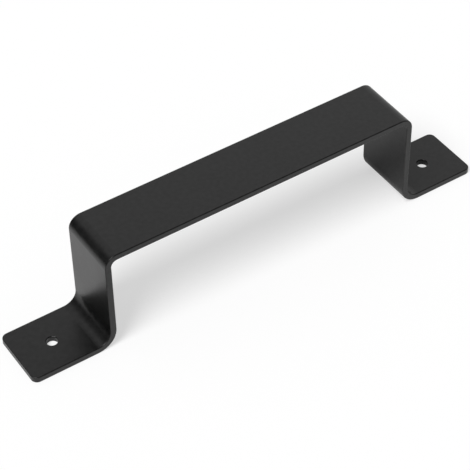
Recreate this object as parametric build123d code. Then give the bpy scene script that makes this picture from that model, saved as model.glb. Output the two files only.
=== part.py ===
from build123d import *
import os

# Barn door pull handle: one length of flat steel bar with four bends. It has two feet that lie
# on the door, two legs that stand off it and a straight grip that joins the legs.
# Millimetres. The origin is on the door face at the middle of the handle, +X runs along the
# handle, +Y across the bar and +Z away from the door.

# The bar
bar_width = 30.0
bar_thickness = 3.0

# The bent shape, measured over the outside of the metal
grip_length = 157.0       # from the outer face of one leg to the outer face of the other
projection = 52.0         # from the door to the top of the grip
foot_length = 37.5        # from the outer face of a leg to the end of its foot
grip_bend_radius = 3.0    # inside radius where a leg turns into the grip
foot_bend_radius = 6.5    # inside radius where a leg turns out into its foot

# The ends, holes and edges
foot_corner_radius = 3.0
screw_hole_diameter = 5.0
screw_hole_inset = 17.0   # from the end of the foot to the middle of the hole
edge_rounding = 0.4       # left on every edge, end and hole rim by tumbling before the coat

# Places that follow from the sizes
leg_inside = grip_length / 2 - bar_thickness
grip_underside = projection - bar_thickness
foot_end = grip_length / 2 + foot_length
screw_hole_at = foot_end - screw_hole_inset

# The rounding can take no more than the two edges of the bar leave it.
rounding = min(edge_rounding, 0.45 * bar_thickness)


def bent_bar():
    """The bar folded to its side profile, with square edges."""
    # The line is the skin that faces the door: under a foot, up the inside of a leg and along
    # under the grip. A bend that closes round the door side has its inside radius on this skin,
    # and a bend that turns away from it has its outside radius.
    foot_bend_outside = foot_bend_radius + bar_thickness
    with BuildPart() as bar:
        with BuildSketch(Plane.XZ) as profile:
            with BuildLine() as skin:
                FilletPolyline(
                    (-foot_end, 0),
                    (-leg_inside, 0),
                    (-leg_inside, grip_underside),
                    (leg_inside, grip_underside),
                    (leg_inside, 0),
                    (foot_end, 0),
                    radius=[foot_bend_outside, grip_bend_radius, grip_bend_radius, foot_bend_outside],
                )
                offset(amount=bar_thickness, side=Side.LEFT, closed=True)
            make_face()
        extrude(amount=bar_width / 2, both=True)
    return bar.part


def round_foot_corners(bar):
    """Round the four corners of the feet, seen from above."""
    end_faces = [bar.faces().sort_by(Axis.X)[0], bar.faces().sort_by(Axis.X)[-1]]
    corners = ShapeList(edge for face in end_faces for edge in face.edges().filter_by(Axis.Z))
    return fillet(corners, foot_corner_radius)


def drill_screw_holes(bar):
    """One plain hole through the middle of each foot."""
    drill = Cylinder(screw_hole_diameter / 2, 3 * bar_thickness)
    holes = [Pos(side * screw_hole_at, 0, bar_thickness / 2) * drill for side in (-1, 1)]
    return bar - holes


def is_sharp(edge, solid):
    """True where two faces meet at an angle, and false on the seam of a flat and its bend."""
    faces = [face for face in solid.faces() if edge in face.edges()]
    if len(faces) != 2:
        return False  # the line where the wall of a hole closes on itself
    middle = edge @ 0.5
    return faces[0].normal_at(middle).get_angle(faces[1].normal_at(middle)) > 1


def round_edges(bar):
    """Take the sharpness off every edge of the bar and off the rims of its holes."""
    sharp_edges = ShapeList(edge for edge in bar.edges() if is_sharp(edge, bar))
    return fillet(sharp_edges, rounding)


pull_handle = round_edges(drill_screw_holes(round_foot_corners(bent_bar())))
pull_handle.label = "pull_handle"

os.makedirs("parts", exist_ok=True)
export_step(pull_handle, "parts/pull_handle.step")

box = pull_handle.bounding_box()
print(f"pull_handle {box.size.X:.2f} x {box.size.Y:.2f} x {box.size.Z:.2f} mm")
print(f"solids {len(pull_handle.solids())}, volume {pull_handle.volume:.1f} mm3, valid {pull_handle.is_valid}")
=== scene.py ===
# %% [markdown]
# # A barn door pull handle in the studio
#
# The handle is one length of flat steel bar, bent four times, drilled twice and powder coated
# black. Its shape comes ready made, as the fixed frame, so this lesson is about everything that
# turns a correct shape into a believable picture: a finish, a floor, a room, a lamp and a camera.
# Black is the hard colour for that. A black thing shows almost nothing of its own and nearly
# all of what you see on it is a reflection, so the studio has to be built with as much care
# as the handle.
#
# The first cell loads the frame. Blender works in metres here, with the origin on the door
# face under the middle of the grip, X along the handle, Y across the bar and Z out from the door.

# %% Load the frame
import math

import bmesh
import bpy
from mathutils import Matrix, Vector


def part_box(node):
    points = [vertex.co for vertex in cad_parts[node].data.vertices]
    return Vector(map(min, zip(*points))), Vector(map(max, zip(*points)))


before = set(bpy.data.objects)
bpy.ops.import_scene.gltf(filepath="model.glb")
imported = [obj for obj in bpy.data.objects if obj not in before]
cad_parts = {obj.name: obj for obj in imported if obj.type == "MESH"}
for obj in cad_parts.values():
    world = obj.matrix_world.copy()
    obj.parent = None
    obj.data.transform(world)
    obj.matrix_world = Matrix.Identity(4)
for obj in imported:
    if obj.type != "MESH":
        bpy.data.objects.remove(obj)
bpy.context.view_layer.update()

MM = 0.001

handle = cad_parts["pull_handle"]
handle_low, handle_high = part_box("pull_handle")
print("handle, mm:", [round(side / MM, 1) for side in handle_high - handle_low])
print("triangles in the handle:", len(handle.data.polygons))

# %% [markdown]
# ## Two helpers for shaders
#
# Colours are easiest to talk about as the hex values that a paint chart or a picture editor
# gives. Those are sRGB values, and a shader wants linear light, so one function turns one into
# the other. The second helper adds a node, sets its sockets and links it in a single call. With
# it a shader reads from top to bottom like a recipe.

# %% Colour and node helpers
def linear(hex_colour):
    """An sRGB hex colour as the linear red, green, blue and alpha that a shader wants."""
    channels = [int(hex_colour[i:i + 2], 16) / 255 for i in (1, 3, 5)]
    return [c / 12.92 if c <= 0.04045 else ((c + 0.055) / 1.055) ** 2.4 for c in channels] + [1.0]


def add_node(tree, kind, inputs=None, **settings):
    """Add a node. A value in inputs that is an output of another node is linked to the socket."""
    node = tree.nodes.new(kind)
    for name, value in settings.items():
        setattr(node, name, value)
    for socket, value in (inputs or {}).items():
        if isinstance(value, bpy.types.NodeSocket):
            tree.links.new(value, node.inputs[socket])
        else:
            node.inputs[socket].default_value = value
    return node


print("#808080 is", round(linear("#808080")[0], 3), "in linear light")

# %% [markdown]
# ## Satin black powder coat on steel
#
# Powder coat is a dry plastic powder, sprayed on the bar with a static charge and then melted in
# an oven. It flows into one skin about 0.08 mm thick that wraps every edge. Carbon black drinks
# nearly all the light that enters it, so the base colour is almost zero, and the look is all in
# the skin on top. Clear resin has an IOR near 1.5 and a satin skin a roughness of about a third.
# Real satin coats mirror a little less than that IOR gives, so it is taken down to 1.43.
#
# The melt never levels completely. It keeps a soft swell called orange peel, about two
# millimetres from hump to hump and two hundredths high, and a fine grain from the
# single powder grains. Both are bump and not geometry, because they are far thinner than any
# edge of the part. The swell also mirrors the room a few per cent unevenly, and that uneven
# reflection is painted into the colour: the black is painted a shade deeper or paler with
# the swell. Object coordinates fix all this to the steel in metres, so the same grain runs
# on round a bend, and a texture scale is simply one over the size wanted.

# %% The powder coat
def satin_black_powder_coat():
    """Powder coat: deep black resin with a satin skin, faint orange peel and a fine grain."""
    material = bpy.data.materials.new("satin_black_powder_coat")
    material.use_nodes = True
    tree = material.node_tree
    skin = tree.nodes["Principled BSDF"]
    place = add_node(tree, "ShaderNodeTexCoord").outputs["Object"]

    peel_size = 2.0 * MM
    peel_height = 0.02 * MM
    peel = add_node(tree, "ShaderNodeTexNoise",
                    {"Vector": place, "Scale": 1 / peel_size, "Detail": 1.0, "Roughness": 0.4})
    peel_bump = add_node(tree, "ShaderNodeBump",
                         {"Height": peel.outputs["Fac"], "Distance": peel_height, "Strength": 1.0})

    # Real powder grain is about 0.05 mm. It is drawn at 0.6 mm, the finest that shows from here.
    grain_size = 0.6 * MM
    grain_height = 0.01 * MM
    grain = add_node(tree, "ShaderNodeTexNoise",
                     {"Vector": place, "Scale": 1 / grain_size, "Detail": 2.0, "Roughness": 0.6})
    grain_bump = add_node(tree, "ShaderNodeBump",
                          {"Height": grain.outputs["Fac"], "Distance": grain_height,
                           "Strength": 1.0, "Normal": peel_bump.outputs["Normal"]})

    # Noise seldom leaves the range from 0.3 to 0.7, so its shades and roughness span that range.
    noise_low = 0.3
    noise_high = 0.7

    # Painted sheen: the swell's uneven reflection, painted into the colour as a deeper or paler
    # black. It has no hue, so one channel of each black is enough.
    deepest_black = linear("#060606")[0]
    palest_black = linear("#121212")[0]
    painted_sheen = add_node(tree, "ShaderNodeMapRange",
                      {"Value": peel.outputs["Fac"], "From Min": noise_low, "From Max": noise_high,
                       "To Min": deepest_black, "To Max": palest_black})

    # The skin is a touch glossier where the melt ran thin, in patches a few centimetres wide.
    patch_size = 25 * MM
    smoothest = 0.33
    roughest = 0.37
    patches = add_node(tree, "ShaderNodeTexNoise",
                       {"Vector": place, "Scale": 1 / patch_size, "Detail": 2.0})
    satin = add_node(tree, "ShaderNodeMapRange",
                     {"Value": patches.outputs["Fac"], "From Min": noise_low, "From Max": noise_high,
                      "To Min": smoothest, "To Max": roughest})

    skin.inputs["Metallic"].default_value = 0.0
    skin.inputs["IOR"].default_value = 1.43
    # The base colour carries the painted sheen of the swell.
    tree.links.new(painted_sheen.outputs["Result"], skin.inputs["Base Color"])
    tree.links.new(satin.outputs["Result"], skin.inputs["Roughness"])
    tree.links.new(grain_bump.outputs["Normal"], skin.inputs["Normal"])
    return material


coat = satin_black_powder_coat()
for slot in handle.material_slots:
    slot.material = coat
print("coated:", handle.name, "with", [slot.material.name for slot in handle.material_slots])

# %% [markdown]
# ## White paper
#
# The floor is matte white paper. White paper sends back nine tenths of the light, and the
# missing tenth is what makes a white floor come out pale grey. Two small helps bring it up to
# white without putting more light on the handle. A faint glow goes to direct looks, mirror
# images and clear glass. And what the camera sees is half plain white and half paper, as if
# the sheet lay on a light table, which also thins the handle's soft shadow by half.

# %% The paper
white = linear("#ffffff")
paper_glow = 0.15
plain_share = 0.5


def seen_as_background(tree):
    """One for a ray from the camera, off something glossy or through something clear, else zero."""
    ray = add_node(tree, "ShaderNodeLightPath")
    seen_or_mirrored = add_node(tree, "ShaderNodeMath",
                                {0: ray.outputs["Is Camera Ray"], 1: ray.outputs["Is Glossy Ray"]},
                                operation="MAXIMUM")
    any_look = add_node(tree, "ShaderNodeMath",
                        {0: seen_or_mirrored.outputs[0], 1: ray.outputs["Is Transmission Ray"]},
                        operation="MAXIMUM")
    return any_look.outputs[0]


def matte_white_paper():
    """Studio paper: plain white, with no shine, so it keeps a shadow and hides its own surface."""
    material = bpy.data.materials.new("matte_white_paper")
    material.use_nodes = True
    tree = material.node_tree
    paper = tree.nodes["Principled BSDF"]
    paper.inputs["Base Color"].default_value = linear("#f2f2f2")
    paper.inputs["Roughness"].default_value = 1.0
    paper.inputs["Specular IOR Level"].default_value = 0.0
    paper.inputs["Emission Color"].default_value = white
    glow = add_node(tree, "ShaderNodeMath", {0: seen_as_background(tree), 1: paper_glow},
                    operation="MULTIPLY")
    tree.links.new(glow.outputs[0], paper.inputs["Emission Strength"])

    ray = add_node(tree, "ShaderNodeLightPath")
    share = add_node(tree, "ShaderNodeMath", {0: ray.outputs["Is Camera Ray"], 1: plain_share},
                     operation="MULTIPLY")
    plain = add_node(tree, "ShaderNodeEmission", {"Color": white, "Strength": 1.0})
    blend = add_node(tree, "ShaderNodeMixShader", {0: share.outputs[0], 1: paper.outputs["BSDF"],
                                                   2: plain.outputs["Emission"]})
    tree.links.new(blend.outputs[0], tree.nodes["Material Output"].inputs["Surface"])
    return material


paper_material = matte_white_paper()
print("paper nodes:", len(paper_material.node_tree.nodes))

# %% [markdown]
# ## The sheet under the handle
#
# The handle stands on one square sheet, a little over half a metre wide. It is a grid of one
# face, turned, and set down at the height of the door face. The camera sees white beyond it
# too, so the edge of the sheet does not show. Mirror images do show it: past the edge the coat
# mirrors the dim room, which starts the dark line along the bend on the left.

# %% The floor
paper_heading = 57.0
paper_width = 560 * MM

sheet = bmesh.new()
bmesh.ops.create_grid(sheet, x_segments=1, y_segments=1, size=paper_width / 2)
bmesh.ops.rotate(sheet, verts=sheet.verts, cent=(0, 0, 0),
                 matrix=Matrix.Rotation(math.radians(paper_heading), 3, "Z"))
bmesh.ops.translate(sheet, verts=sheet.verts, vec=(0, 0, handle_low.z))
print("sheet sides, mm:", [round(side.calc_length() / MM, 1) for side in sheet.edges])

floor_mesh = bpy.data.meshes.new("floor")
sheet.to_mesh(floor_mesh)
sheet.free()
floor_mesh.materials.append(paper_material)
floor = bpy.data.objects.new("floor", floor_mesh)
bpy.context.scene.collection.objects.link(floor)
print("floor at z =", round(handle_low.z, 4))

# %% [markdown]
# ## The sweep behind the handle
#
# What the satin skin mirrors is decided by the world. The top of the grip lies level, so it
# mirrors what stands half way up on the far side of the set, and that is a tall white sweep. All
# other directions are a dim room. The bend on the left mirrors the unlit end of the room, which
# draws the thin dark line that tells the eye how tight the bend is. The rounded front edge
# mirrors the dark side of the room behind the camera, and so it gets a fine dark line as well.
#
# A world shader answers for one direction at a time, so the sweep is a test of the direction.
# Seen from above, the direction's dot product with the middle of the sweep is the cosine of the
# angle between them. Its Z is the sine of its angle above the floor. The edges are soft.

# %% The sweep
def unit_vector(heading, height):
    """A direction from its heading, anticlockwise from +X, and its height, both in degrees."""
    heading, height = math.radians(heading), math.radians(height)
    return Vector((math.cos(heading) * math.cos(height), math.sin(heading) * math.cos(height),
                   math.sin(height)))


sweep_heading = 70.0
sweep_half_width = 52.0
sweep_top = 60.0
side_softness = 0.13
top_softness = 0.2

world = bpy.data.worlds.new("studio")
bpy.context.scene.world = world
world.use_nodes = True
sky = world.node_tree
direction = add_node(sky, "ShaderNodeTexCoord").outputs["Generated"]
parts = add_node(sky, "ShaderNodeSeparateXYZ", {"Vector": direction})

level_part = add_node(sky, "ShaderNodeCombineXYZ", {"X": parts.outputs["X"], "Y": parts.outputs["Y"]})
from_above = add_node(sky, "ShaderNodeVectorMath", {0: level_part.outputs[0]}, operation="NORMALIZE")
towards_sweep = add_node(sky, "ShaderNodeVectorMath",
                         {0: from_above.outputs[0], 1: unit_vector(sweep_heading, 0)},
                         operation="DOT_PRODUCT")
side = math.cos(math.radians(sweep_half_width))
between_sides = add_node(sky, "ShaderNodeMapRange",
                         {"Value": towards_sweep.outputs["Value"],
                          "From Min": side - side_softness, "From Max": side + side_softness},
                         interpolation_type="SMOOTHSTEP")

top = math.sin(math.radians(sweep_top))
under_top = add_node(sky, "ShaderNodeMapRange",
                     {"Value": parts.outputs["Z"], "From Min": top - top_softness,
                      "From Max": top + top_softness, "To Min": 1.0, "To Max": 0.0},
                     interpolation_type="SMOOTHSTEP")
on_sweep = add_node(sky, "ShaderNodeMath", {0: between_sides.outputs[0], 1: under_top.outputs[0]},
                    operation="MULTIPLY")
print("sweep, degrees round:", sweep_heading - sweep_half_width, sweep_heading + sweep_half_width)

# %% [markdown]
# ## What each kind of ray finds
#
# The world gives each kind of ray its own answer. The camera finds plain white. A ray that left
# something glossy, or went through something clear, finds the sweep or the dim room. The paper
# of the sweep is a little darker near the floor than higher up, as it is when it is lit from
# above. All other rays light matte surfaces. They find an even fill light, so the sweep can be
# placed for its mirror image alone.

# %% World light
sweep_at_floor = 0.72
sweep_at_top = 0.96
sweep_full_height = 37.0
room_light = 0.045
fill_light = 0.24

paper_light = add_node(sky, "ShaderNodeMapRange",
                       {"Value": parts.outputs["Z"], "From Min": 0.0,
                        "From Max": math.sin(math.radians(sweep_full_height)),
                        "To Min": sweep_at_floor, "To Max": sweep_at_top})
mirrored = add_node(sky, "ShaderNodeMapRange",
                    {"Value": on_sweep.outputs[0], "To Min": room_light,
                     "To Max": paper_light.outputs[0]})

ray = add_node(sky, "ShaderNodeLightPath")
mirror_or_glass = add_node(sky, "ShaderNodeMath", {0: ray.outputs["Is Glossy Ray"],
                                                   1: ray.outputs["Is Transmission Ray"]},
                           operation="MAXIMUM")
indirect = add_node(sky, "ShaderNodeMapRange",
                    {"Value": mirror_or_glass.outputs[0], "To Min": fill_light,
                     "To Max": mirrored.outputs[0]})
found = add_node(sky, "ShaderNodeMapRange",
                 {"Value": ray.outputs["Is Camera Ray"], "To Min": indirect.outputs[0],
                  "To Max": 1.0})
background = sky.nodes["Background"]
background.inputs["Color"].default_value = white
sky.links.new(found.outputs[0], background.inputs["Strength"])
print("world nodes:", len(sky.nodes))

# %% [markdown]
# ## The lamp
#
# One big soft lamp does the lighting. A sun lamp with a wide angle behaves like a large softbox
# far away: its light is even over the whole floor, so no view of the handle falls off
# into grey. It stands off the left end of the handle and a little towards the camera. The floor
# that the outer face of the left leg mirrors is lit from there and makes it the lightest face.
# The shadow of the grip falls under it and to the right, where the inner face of
# the right leg mirrors it and stays dark.

# %% The lamp
def soft_lamp(name, heading, height, spread, on_floor):
    """Light a level surface to on_floor of full white, from a far disc spread degrees wide."""
    towards = unit_vector(heading, height)
    lamp = bpy.data.lights.new(name, "SUN")
    lamp.angle = math.radians(spread)
    lamp.energy = on_floor * math.pi / towards.z
    lamp_object = bpy.data.objects.new(name, lamp)
    lamp_object.rotation_euler = towards.to_track_quat("Z", "Y").to_euler()
    bpy.context.scene.collection.objects.link(lamp_object)
    print(f"{name}: {lamp.energy:.2f} W/m2")


key_on_floor = 0.72
soft_lamp("key_softbox", heading=200, height=55, spread=28, on_floor=key_on_floor)
print("light on the floor, where 1 is full white:", round(fill_light + key_on_floor, 2))

# %% [markdown]
# ## The camera
#
# A long lens from most of a metre away keeps the two ends of the handle nearly the same size,
# and looks down on it at about 45 degrees. The place, turn and lens come from fitting this
# handle's edges to its picture. The camera is also rolled by one degree, as a camera held in the
# hand often is.

# %% The camera
picture_width = 470         # pixels
focal_length_px = 1759.6
film_width = 36.0           # millimetres
camera_place = Vector((-306.24, -463.77, 554.61)) * MM
straight_in_front = -90.0   # the heading of -Y, in degrees like the next three
camera_side = -32.936
camera_height = 44.364
camera_roll = -1.016

back = unit_vector(camera_side + straight_in_front, camera_height)
level_right = (-back).cross(Vector((0, 0, 1))).normalized()
level_turn = Matrix((level_right, back.cross(level_right), back)).transposed()
turn = level_turn @ Matrix.Rotation(math.radians(camera_roll), 3, "Z")

lens = bpy.data.cameras.new("camera")
lens.sensor_width = film_width
lens.lens = focal_length_px / picture_width * film_width
lens.clip_start = 0.01
lens.clip_end = 100.0
camera = bpy.data.objects.new("camera", lens)
camera.matrix_world = Matrix.Translation(camera_place) @ turn.to_4x4()
bpy.context.scene.collection.objects.link(camera)
bpy.context.scene.camera = camera
bpy.context.scene.view_settings.view_transform = "Standard"
print("lens:", round(lens.lens, 1), "mm, from", round(camera_place.length, 3), "m")
